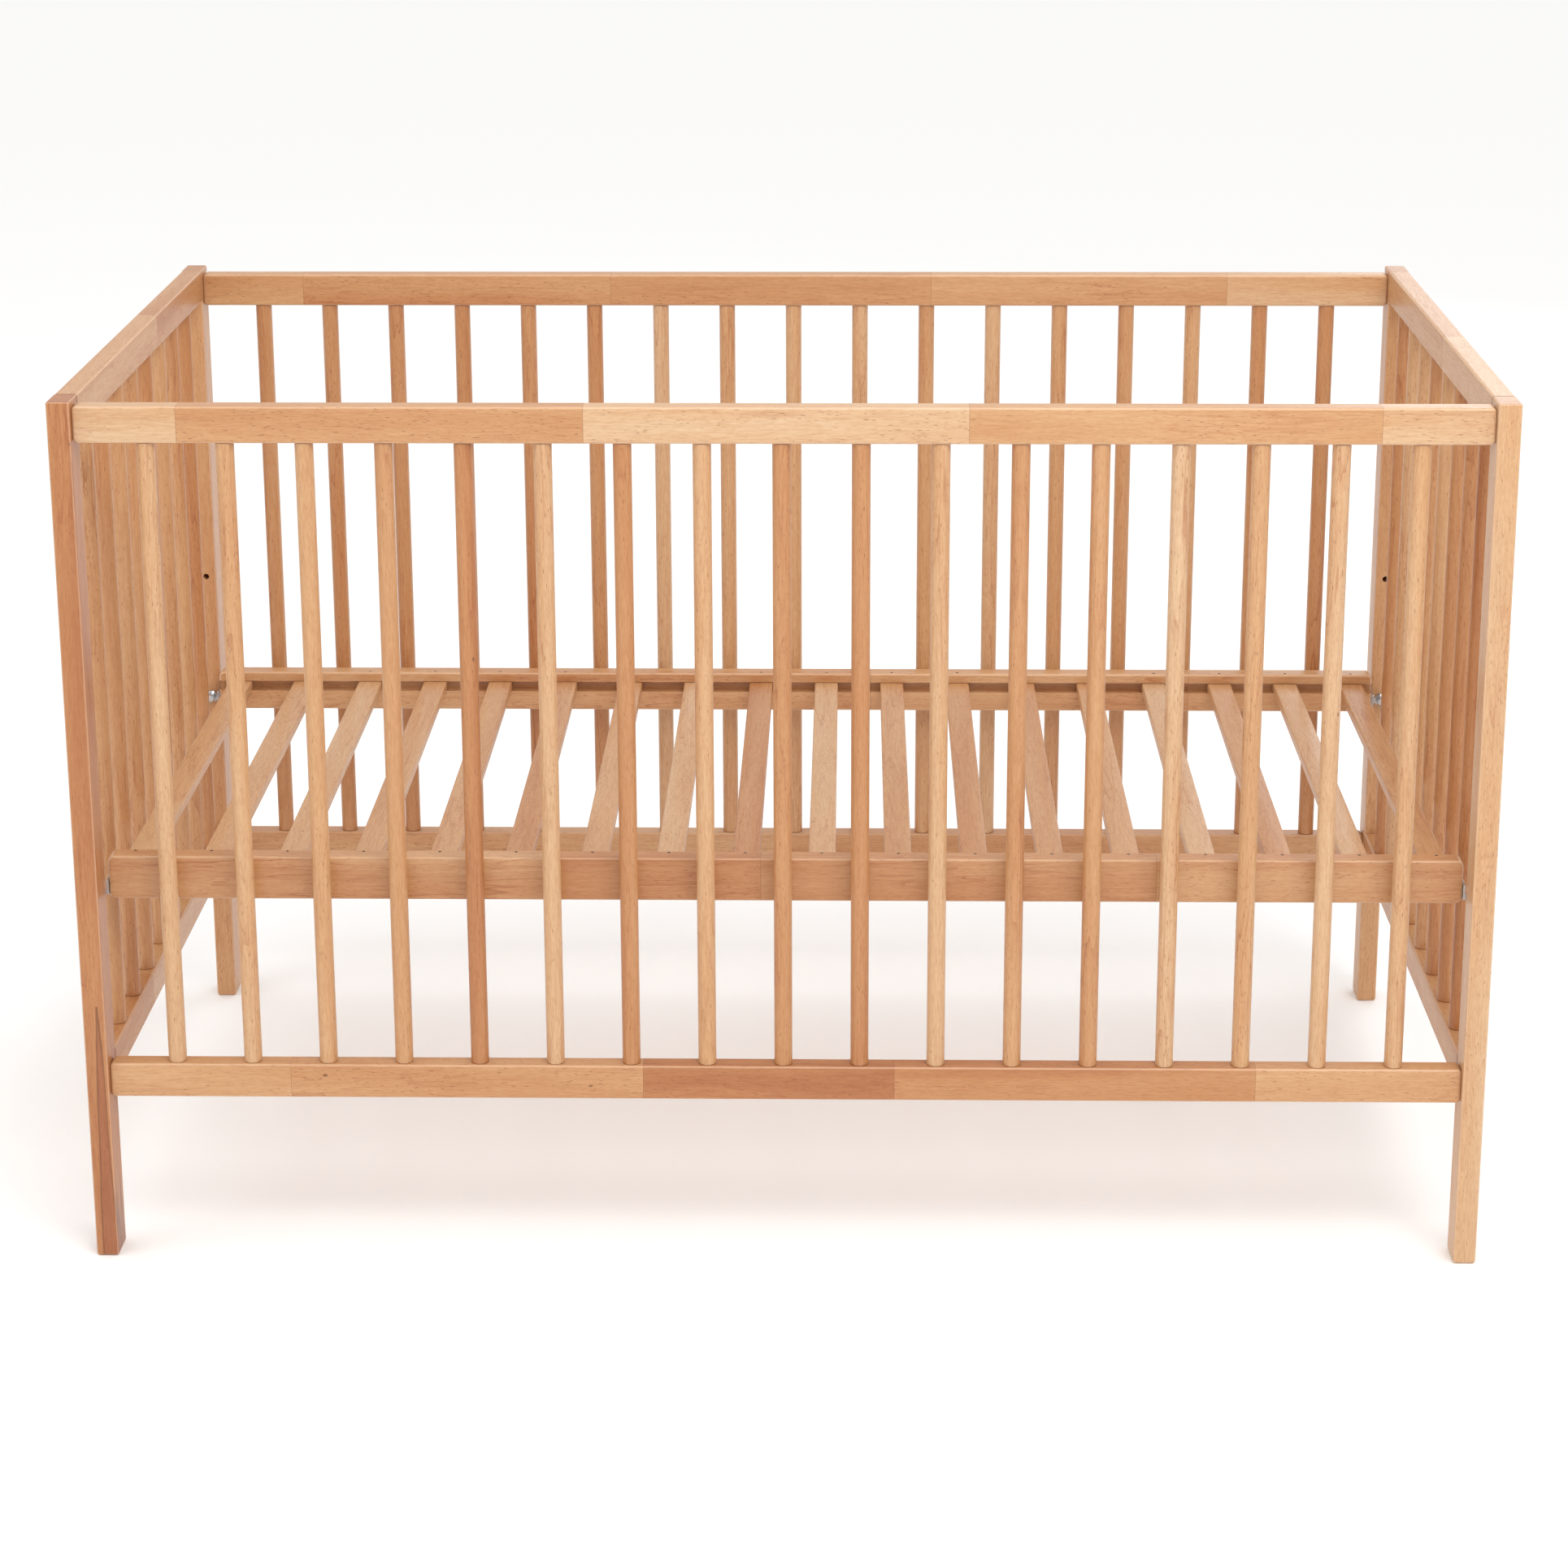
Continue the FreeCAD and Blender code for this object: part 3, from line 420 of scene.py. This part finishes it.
# ---------------------------------------------------------------- corner bolts and barrel nuts
# Yellow-passivated M6 bolts with a low round head and a hexagon socket, two through each
# post into the rail ends, where each screws into a plain barrel nut let in from below.
def metal(name, colour, rough, mottle=0.48):
    """Plated steel: a slightly cloudy plating with fine drawn scratches."""
    material = bpy.data.materials.new(name)
    material.use_nodes = True
    tree = material.node_tree
    tree.nodes.clear()
    spot = place_node(tree, "ShaderNodeTexCoord").outputs["Object"]
    cloud = noise(tree, spot, 420.0, 4.0)
    scratch = noise(tree, stretch(tree, spot, (1, 1, 0.08)), 3800.0, 2.0)
    dull = (*(0.62 * part for part in colour[:3]), 1.0)
    bare_steel = srgb(232, 230, 226)
    shade = blend_colour(tree, calc(tree, "MULTIPLY", cloud, mottle, clamp=True), colour, dull)
    rub = calc(tree, "MULTIPLY", excess(tree, scratch, 0.58, 6.0), 0.35)
    shade = blend_colour(tree, rub, shade, bare_steel)
    roughness = calc(tree, "MULTIPLY_ADD", cloud, 0.25, rough - 0.1)
    relief = calc(tree, "MULTIPLY_ADD", cloud, 0.6, calc(tree, "MULTIPLY", scratch, 0.4))
    bump = place_node(tree, "ShaderNodeBump", {
        "Height": relief, "Strength": 0.3, "Distance": 0.00008})
    shader = place_node(tree, "ShaderNodeBsdfPrincipled", {
        "Base Color": shade, "Metallic": 1.0, "Roughness": roughness, "Normal": bump.outputs[0]})
    out = place_node(tree, "ShaderNodeOutputMaterial")
    tree.links.new(shader.outputs[0], out.inputs[0])
    return material


def profile_line(name, steps):
    """The outline of a turned piece: (height, radius) from one end to the other."""
    mesh = bpy.data.meshes.new(name)
    links = [(i, i + 1) for i in range(len(steps) - 1)]
    mesh.from_pydata([(0, 0, height) for height, _ in steps], links, [])
    radii = mesh.attributes.new("radius_here", "FLOAT", "POINT")
    for place, (_, radius) in zip(radii.data, steps):
        place.value = radius
    return mesh


def turned_piece(tree, outline, sides):
    """Sweeps a ring up the profile line, as wide at each step as the line says."""
    path = place_node(tree, "GeometryNodeMeshToCurve", {0: outline}).outputs[0]
    radius = place_node(tree, "GeometryNodeInputNamedAttribute", {"Name": "radius_here"},
                        data_type="FLOAT").outputs[0]
    ring = place_node(tree, "GeometryNodeCurvePrimitiveCircle", {
        "Resolution": sides, "Radius": 1.0}).outputs[0]
    return place_node(tree, "GeometryNodeCurveToMesh", {
        "Curve": path, "Profile Curve": ring, "Scale": radius, "Fill Caps": True}).outputs[0]


def cut_from(tree, body, cutter):
    """Takes the cutter's shape out of the body."""
    cut = place_node(tree, "GeometryNodeMeshBoolean", operation="DIFFERENCE", solver="EXACT")
    tree.links.new(body, cut.inputs[0])
    tree.links.new(cutter, cut.inputs[1])
    return cut.outputs[0]


def smooth_by_angle(mesh, degrees):
    """Keeps crisp edges crisp on a smooth-shaded small part."""
    limit = math.radians(degrees)
    work = bmesh.new()
    work.from_mesh(mesh)
    bmesh.ops.remove_doubles(work, verts=work.verts, dist=1e-7)
    bmesh.ops.recalc_face_normals(work, faces=work.faces)
    for face in work.faces:
        face.smooth = True
    for edge in work.edges:
        edge.smooth = not (edge.is_manifold and edge.calc_face_angle(0.0) > limit)
    work.to_mesh(mesh)
    work.free()


bolt_low, bolt_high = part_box("corner_bolts")
head_tall = bolt_high.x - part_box("post_front_right")[1].x
head_radius, shank_radius, shank_long = 0.0050, 0.0030, 0.058
key_radius, key_tall, key_middle = 0.0023, 0.0030, 0.0021   # the hexagon of the socket
bolt_sides = 28
bolt_tree, bolt_in, bolt_out = geometry_tree("corner bolts", [
    ("Centre", "Vector"), ("Spread", "Vector"), ("Key", "Float"), ("Plating", "Material")])
key = place_node(bolt_tree, "GeometryNodeMeshCylinder", {
    "Vertices": 6, "Radius": bolt_in["Key"], "Depth": key_tall}, fill_type="NGON").outputs[0]
key = place_node(bolt_tree, "GeometryNodeTransform", {
    "Geometry": key, "Translation": (0, 0, key_middle)}).outputs[0]
bolt_body = cut_from(bolt_tree, turned_piece(bolt_tree, bolt_in[0], bolt_sides), key)
corners = place_node(bolt_tree, "GeometryNodeMeshCube", {"Size": bolt_in["Spread"]}).outputs[0]
corners = place_node(bolt_tree, "GeometryNodeTransform", {
    "Geometry": corners, "Translation": bolt_in["Centre"]}).outputs[0]
side_of = place_node(bolt_tree, "ShaderNodeSeparateXYZ", {
    0: place_node(bolt_tree, "GeometryNodeInputPosition").outputs[0]}).outputs[0]
outward = place_node(bolt_tree, "ShaderNodeCombineXYZ", {
    0: calc(bolt_tree, "SIGN", side_of)}).outputs[0]
facing_out = place_node(bolt_tree, "FunctionNodeAlignRotationToVector", {
    "Vector": outward}, axis="Z").outputs[0]
bolts = place_node(bolt_tree, "GeometryNodeInstanceOnPoints", {
    "Points": corners, "Instance": bolt_body, "Rotation": facing_out}).outputs[0]
close_tree(bolt_tree, bolts, bolt_in["Plating"], bolt_out)
bolt_profile = profile_line("bolt profile", [
    (-shank_long, 0.8 * shank_radius), (-0.0565, shank_radius), (0.0, shank_radius),
    (0.00002, 0.98 * head_radius), (0.0003, head_radius), (0.45 * head_tall, 0.996 * head_radius),
    (0.75 * head_tall, 0.92 * head_radius), (0.93 * head_tall, 0.78 * head_radius),
    (head_tall, 0.6 * head_radius)])
corner_bolts = make_with(bolt_tree, "corner_bolt_heads", {
    "Centre": (0, 0, (bolt_low.z + bolt_high.z) / 2),
    "Spread": (2 * (bolt_high.x - head_tall), bolt_high.y - bolt_low.y - 2 * head_radius,
               bolt_high.z - bolt_low.z - 2 * head_radius),
    "Key": key_radius,
    "Plating": metal("yellow zinc plating", srgb(196, 164, 96), 0.36)}, bolt_profile)
smooth_by_angle(corner_bolts.data, 32)
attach(corner_bolts, "frame")
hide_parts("corner_bolts")
zinc = metal("bright zinc plating", srgb(206, 208, 210), 0.32)
dress("barrel_nuts", zinc)


# ---------------------------------------------------------------- bed base rails
# Two long beech rails with a groove in the inner face for the slat ends. The upper edge is
# rounded over, the ends are rounded off, and the staves show as in the side rails.
base_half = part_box("base_rail_front")[1].x
dress("base_rail_front", beech(
    "beech base rail front", "X", tone=0.5, figure=0.75, flecks=0.4,
    staves=[(-0.21, 0.48), (-0.02, 0.68), (0.33, 0.6), (base_half, 0.5)]))
dress("base_rail_back", beech(
    "beech base rail back", "X", tone=0.5, figure=0.75, flecks=0.4,
    staves=[(-0.33, 0.4), (0.08, 0.5), (0.41, 0.44), (base_half, 0.36)]))


# ---------------------------------------------------------------- slats
# Eighteen thin beech slats, edges just broken, with their ends in the rails' grooves. They
# come from mixed stock, so some are pale and some are flushed with red.
slat_tree, slat_in, slat_out = geometry_tree("slats", [
    ("Count", "Int"), ("First", "Vector"), ("Step", "Vector"), ("Length", "Float"),
    ("Width", "Float"), ("Thickness", "Float"), ("Edge", "Float"), ("Seed", "Int"),
    ("Wood", "Material")])
slat_points = place_node(slat_tree, "GeometryNodeMeshLine", {
    "Count": slat_in["Count"], "Start Location": slat_in["First"],
    "Offset": slat_in["Step"]}, mode="OFFSET")
slat_end = place_node(slat_tree, "ShaderNodeCombineXYZ", {2: slat_in["Length"]}).outputs[0]
slat_line = place_node(slat_tree, "GeometryNodeCurvePrimitiveLine", {"End": slat_end}).outputs[0]
slat_rings, edge_steps = 14, 4
slat_line = place_node(slat_tree, "GeometryNodeResampleCurve", {
    "Curve": slat_line, "Count": slat_rings}).outputs[0]
section = place_node(slat_tree, "GeometryNodeCurvePrimitiveQuadrilateral", {
    "Width": slat_in["Width"], "Height": slat_in["Thickness"]}).outputs[0]
section = place_node(slat_tree, "GeometryNodeFilletCurve", {
    "Curve": section, "Radius": slat_in["Edge"], "Count": edge_steps}, mode="POLY").outputs[0]
slat_body = place_node(slat_tree, "GeometryNodeCurveToMesh", {
    "Curve": slat_line, "Profile Curve": section, "Fill Caps": True}).outputs[0]
slat_body = place_node(slat_tree, "GeometryNodeTransform", {
    "Geometry": slat_body, "Rotation": (-math.pi / 2, 0, 0)}).outputs[0]
laid = spread_by_tone(slat_tree, slat_points.outputs[0], slat_body, slat_in["Seed"])
close_tree(slat_tree, laid, slat_in["Wood"], slat_out)
slat_edge, slat_seed = 0.0015, 1491
slat_names = [f"slat_{i:02d}" for i in range(1, 19)]
one_low, one_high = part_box("slat_01")
two_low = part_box("slat_02")[0]
slats = make_with(slat_tree, "base_slats", {
    "Count": len(slat_names), "Step": (two_low.x - one_low.x, 0, 0),
    "First": ((one_low.x + one_high.x) / 2, one_low.y, (one_low.z + one_high.z) / 2),
    "Length": one_high.y - one_low.y, "Width": one_high.x - one_low.x,
    "Thickness": one_high.z - one_low.z, "Edge": slat_edge, "Seed": slat_seed,
    "Wood": beech("beech slat", "Y", tone=0.42, figure=0.6, flecks=0.35, own_tone=0.5)})
smooth_by_angle(slats.data, 40)
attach(slats, "bed_base")
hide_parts(*slat_names)


# ---------------------------------------------------------------- slat nails
# A round-headed nail at each slat end, driven down through the lip of the rail and punched
# flush, which leaves a small dark dish in the wood.
nail_low, nail_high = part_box("slat_nails")
nail_radius, nail_head, nail_long, nail_sides = 0.0009, 0.0014, 0.017, 14
nail_tree, nail_in, nail_out = geometry_tree("slat nails", [
    ("Count", "Int"), ("Spread X", "Float"), ("Spread Y", "Float"), ("Top", "Float"),
    ("Steel", "Material")])
grid = place_node(nail_tree, "GeometryNodeMeshGrid", {
    "Size X": nail_in["Spread X"], "Size Y": nail_in["Spread Y"], "Vertices X": nail_in["Count"],
    "Vertices Y": 2}).outputs[0]
raised = place_node(nail_tree, "ShaderNodeCombineXYZ", {2: nail_in["Top"]}).outputs[0]
grid = place_node(nail_tree, "GeometryNodeTransform", {
    "Geometry": grid, "Translation": raised}).outputs[0]
nail = turned_piece(nail_tree, nail_in[0], nail_sides)
nails = place_node(nail_tree, "GeometryNodeInstanceOnPoints", {
    "Points": grid, "Instance": nail}).outputs[0]
close_tree(nail_tree, nails, nail_in["Steel"], nail_out)
nail_profile = profile_line("nail profile", [
    (-nail_long, 0.0002), (-0.015, nail_radius), (-0.0006, nail_radius),
    (-0.0004, nail_head), (0.00008, nail_head), (0.0001, 0.0010), (0.00004, 0.0003)])
slat_nails = make_with(nail_tree, "slat_nail_heads", {
    "Count": len(slat_names), "Spread X": nail_high.x - nail_low.x - 2 * nail_radius,
    "Spread Y": nail_high.y - nail_low.y - 2 * nail_radius, "Top": nail_high.z,
    "Steel": metal("dulled nail steel", srgb(104, 92, 84), 0.5, 0.8)}, nail_profile)
smooth_by_angle(slat_nails.data, 35)
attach(slat_nails, "bed_base")
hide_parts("slat_nails")


# ---------------------------------------------------------------- base tabs
# A bent steel hook with two screws in each end of the base rails. Its slot is open at the
# bottom, so that the base hangs on the four wing screws and lifts off them.
dress("base_tabs", zinc)
dress("tab_screws", zinc)


# ---------------------------------------------------------------- wing screws
# Four zinc-plated M6 wing screws, turned into the posts by hand through the tabs. Nobody
# lines the wings up, so each one stopped at its own angle.
for corner in ("front_left", "front_right", "back_left", "back_right"):
    dress(f"wing_screw_{corner}", zinc)


# ---------------------------------------------------------------- studio
# A pale floor under a white sky, one broad soft light high at the front right, a cooler one
# behind and a weak one at the left.
def paint(name, colour, rough):
    """A plain matt coat for the studio floor."""
    material = bpy.data.materials.new(name)
    material.use_nodes = True
    shader = material.node_tree.nodes["Principled BSDF"]
    shader.inputs["Base Color"].default_value = colour
    shader.inputs["Roughness"].default_value = rough
    return material


floor_reach = 18.0
floor_mesh = bpy.data.meshes.new("studio_floor")
floor_mesh.from_pydata([(x * floor_reach, y * floor_reach, 0) for x, y in
                        ((-1, -1), (1, -1), (1, 1), (-1, 1))], [], [(0, 1, 2, 3)])
floor = bpy.data.objects.new("studio_floor", floor_mesh)
floor_mesh.materials.append(paint("studio floor", srgb(250, 250, 250), 0.9))
bpy.context.scene.collection.objects.link(floor)

# The sky is brightest overhead, so rail tops shine and undersides stay in shade, and a band
# of haze at the horizon hides where the floor ends.
horizon_glow, overhead_gain, haze_glow, haze_top = 0.42, 0.85, 0.52, 0.24
sky = bpy.data.worlds.new("studio sky")
sky.use_nodes = True
sky_tree = sky.node_tree
sky_spot = place_node(sky_tree, "ShaderNodeTexCoord").outputs["Generated"]
height = place_node(sky_tree, "ShaderNodeSeparateXYZ", {0: sky_spot}).outputs[2]
above = calc(sky_tree, "MAXIMUM", height, 0.0)
glow = calc(sky_tree, "MULTIPLY_ADD", above, overhead_gain, horizon_glow)
haze = excess(sky_tree, haze_top, height, 7.0)
glow = calc(sky_tree, "MULTIPLY_ADD", haze, haze_glow, glow)
sky_tree.nodes["Background"].inputs["Color"].default_value = (1.0, 0.995, 0.985, 1.0)
sky_tree.links.new(glow, sky_tree.nodes["Background"].inputs["Strength"])
bpy.context.scene.world = sky


def soft_light(name, where, aim, size, power, colour=(1.0, 1.0, 1.0)):
    """A soft box hung at a place and turned to what it lights."""
    lamp = bpy.data.lights.new(name, "AREA")
    lamp.shape, lamp.size, lamp.size_y, lamp.energy = "RECTANGLE", size[0], size[1], power
    lamp.color = colour
    holder = bpy.data.objects.new(name, lamp)
    holder.location = where
    holder.visible_camera = False
    holder.rotation_euler = (Vector(aim) - Vector(where)).to_track_quat("-Z", "Y").to_euler()
    bpy.context.scene.collection.objects.link(holder)


soft_light("front soft box", (0.8, -2.0, 2.6), (0.0, 0.0, 0.55), (2.0, 1.2), 43)
soft_light("side soft box", (-2.6, -1.2, 1.8), (0.0, 0.0, 0.4), (1.6, 1.6), 10)
soft_light("back soft box", (2.0, 3.4, 2.0), (0.3, 0.0, 0.7), (2.2, 1.6), 20, (0.85, 0.94, 1.0))

camera_data = bpy.data.cameras.new("camera")
camera = bpy.data.objects.new("camera", camera_data)
bpy.context.scene.collection.objects.link(camera)
bpy.context.scene.camera = camera
camera_data.sensor_width = 36.0
camera_data.lens = 80.902
camera_data.shift_x, camera_data.shift_y = 0.0015, -0.1
stand = Vector((0.0589, -3.2357, 1.4212))
pitch, yaw, roll = -0.2774, -0.0203, -0.0030
level_reach = math.cos(pitch)
forward = Vector((math.sin(yaw) * level_reach, math.cos(yaw) * level_reach, math.sin(pitch)))
right = Vector((math.cos(yaw), -math.sin(yaw), 0.0))
up = right.cross(forward)
tilt_right = right * math.cos(roll) + up * math.sin(roll)
tilt_up = up * math.cos(roll) - right * math.sin(roll)
turn = Matrix((tilt_right, tilt_up, -forward)).transposed()
camera.matrix_world = Matrix.Translation(stand) @ turn.to_4x4()
bpy.context.scene.view_settings.view_transform = "Standard"
